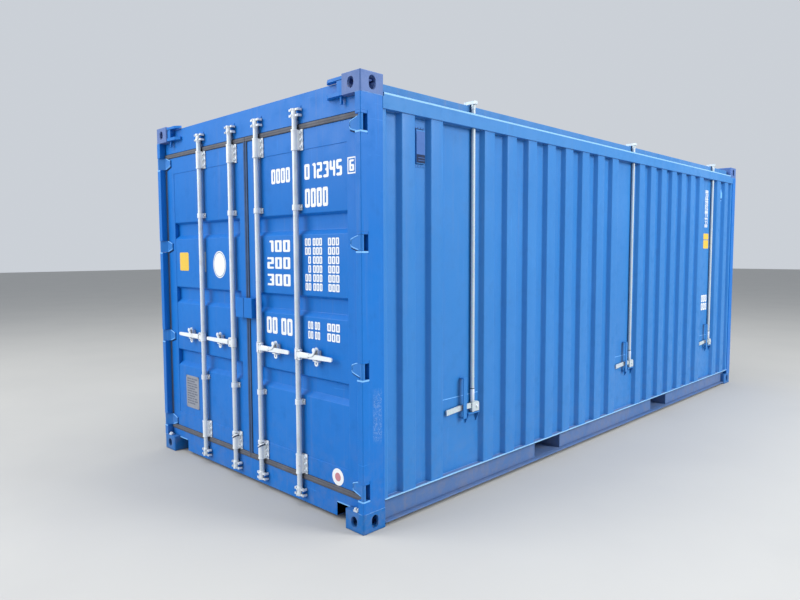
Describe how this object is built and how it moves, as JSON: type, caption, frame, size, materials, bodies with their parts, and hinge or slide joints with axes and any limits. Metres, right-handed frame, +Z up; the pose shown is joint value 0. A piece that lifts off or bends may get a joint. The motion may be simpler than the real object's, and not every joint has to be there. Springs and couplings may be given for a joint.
{
  "type": "shipping container",
  "caption": "Freight container with a corrugated steel body, a lift-off hard roof held by side rods, corner castings, fork pockets and two hinged end doors with locking bars.",
  "frame": {"origin": "centre of the footprint, level with the underside of the bottom corner fittings", "axes": "+Z up, +Y along the length away from the doors, +X to the right of someone who faces the doors"},
  "size_m": [2.438, 6.058, 2.591],
  "materials": {
    "frame_paint": "satin",
    "wall_paint": "satin",
    "door_paint": "satin",
    "zinc": "matt galvanised",
    "seal": "matt",
    "boards": "worn"
  },
  "bodies": {
    "container": {"bottom_fittings_rear": "frame_paint", "bottom_fittings_front": "frame_paint", "top_fittings_rear": "frame_paint", "top_fittings_front": "frame_paint", "rear_posts": "frame_paint", "front_posts": "frame_paint", "door_sill": "frame_paint", "door_header": "frame_paint", "header_lugs": "frame_paint", "front_sill": "frame_paint", "front_top_rail": "frame_paint", "bottom_rail_flanges": "frame_paint", "bottom_rail_webs": "frame_paint", "top_side_rails": "frame_paint", "cross_members": "frame_paint", "fork_pocket_walls": "frame_paint", "fork_pocket_plates": "frame_paint", "floor_boards": "boards", "side_wall_left": "wall_paint", "side_wall_right": "wall_paint", "front_wall": "wall_paint", "vents": "wall_paint", "roof_frame": "wall_paint", "roof_panel": "wall_paint", "roof_bows": "wall_paint", "roof_rod_guides": "wall_paint", "header_keepers": "frame_paint", "sill_keepers": "frame_paint", "hinge_lugs": "frame_paint"},
    "left_door": {"left_door_frame": "door_paint", "left_door_panel": "door_paint", "left_door_gasket": "seal", "left_door_hinges": "door_paint", "left_rod_brackets": "zinc", "left_handle_catches": "zinc", "left_lock_box": "door_paint"},
    "right_door": {"right_door_frame": "door_paint", "right_door_panel": "door_paint", "right_door_gasket": "seal", "right_door_hinges": "door_paint", "right_rod_brackets": "zinc", "right_handle_catches": "zinc", "right_lock_box": "door_paint"},
    "door_rod_1": {"lock_rod_1": "zinc", "lock_gear_1": "zinc"},
    "door_rod_2": {"lock_rod_2": "zinc", "lock_gear_2": "zinc"},
    "door_rod_3": {"lock_rod_3": "zinc", "lock_gear_3": "zinc"},
    "door_rod_4": {"lock_rod_4": "zinc", "lock_gear_4": "zinc"},
    "roof_lift_left_rear": {"roof_rod_left_rear": "zinc"},
    "roof_lift_left_middle": {"roof_rod_left_middle": "zinc"},
    "roof_lift_left_front": {"roof_rod_left_front": "zinc"},
    "roof_lift_right_rear": {"roof_rod_right_rear": "zinc"},
    "roof_lift_right_middle": {"roof_rod_right_middle": "zinc"},
    "roof_lift_right_front": {"roof_rod_right_front": "zinc"}
  },
  "joints": [
    {"name": "left_door_hinge", "type": "hinge", "parent": "container", "child": "left_door", "pos_m": [-1.206, -3.016, 1.28], "axis": [0, 0, -1], "range_deg": [0, 265]},
    {"name": "right_door_hinge", "type": "hinge", "parent": "container", "child": "right_door", "pos_m": [1.206, -3.016, 1.28], "axis": [0, 0, 1], "range_deg": [0, 265]},
    {"name": "door_rod_1_turn", "type": "hinge", "parent": "left_door", "child": "door_rod_1", "pos_m": [-0.591, -3.004, 1.28], "axis": [0, 0, -1], "range_deg": [-110, 0]},
    {"name": "door_rod_2_turn", "type": "hinge", "parent": "left_door", "child": "door_rod_2", "pos_m": [-0.164, -3.004, 1.28], "axis": [0, 0, -1], "range_deg": [-110, 0]},
    {"name": "door_rod_3_turn", "type": "hinge", "parent": "right_door", "child": "door_rod_3", "pos_m": [0.164, -3.004, 1.28], "axis": [0, 0, 1], "range_deg": [-110, 0]},
    {"name": "door_rod_4_turn", "type": "hinge", "parent": "right_door", "child": "door_rod_4", "pos_m": [0.591, -3.004, 1.28], "axis": [0, 0, 1], "range_deg": [-110, 0]},
    {"name": "roof_lift_left_rear_slide", "type": "slide", "parent": "container", "child": "roof_lift_left_rear", "axis": [0, 0, 1], "range_m": [0, 0.075]},
    {"name": "roof_lift_left_middle_slide", "type": "slide", "parent": "container", "child": "roof_lift_left_middle", "axis": [0, 0, 1], "range_m": [0, 0.075]},
    {"name": "roof_lift_left_front_slide", "type": "slide", "parent": "container", "child": "roof_lift_left_front", "axis": [0, 0, 1], "range_m": [0, 0.075]},
    {"name": "roof_lift_right_rear_slide", "type": "slide", "parent": "container", "child": "roof_lift_right_rear", "axis": [0, 0, 1], "range_m": [0, 0.075]},
    {"name": "roof_lift_right_middle_slide", "type": "slide", "parent": "container", "child": "roof_lift_right_middle", "axis": [0, 0, 1], "range_m": [0, 0.075]},
    {"name": "roof_lift_right_front_slide", "type": "slide", "parent": "container", "child": "roof_lift_right_front", "axis": [0, 0, 1], "range_m": [0, 0.075]}
  ]
}
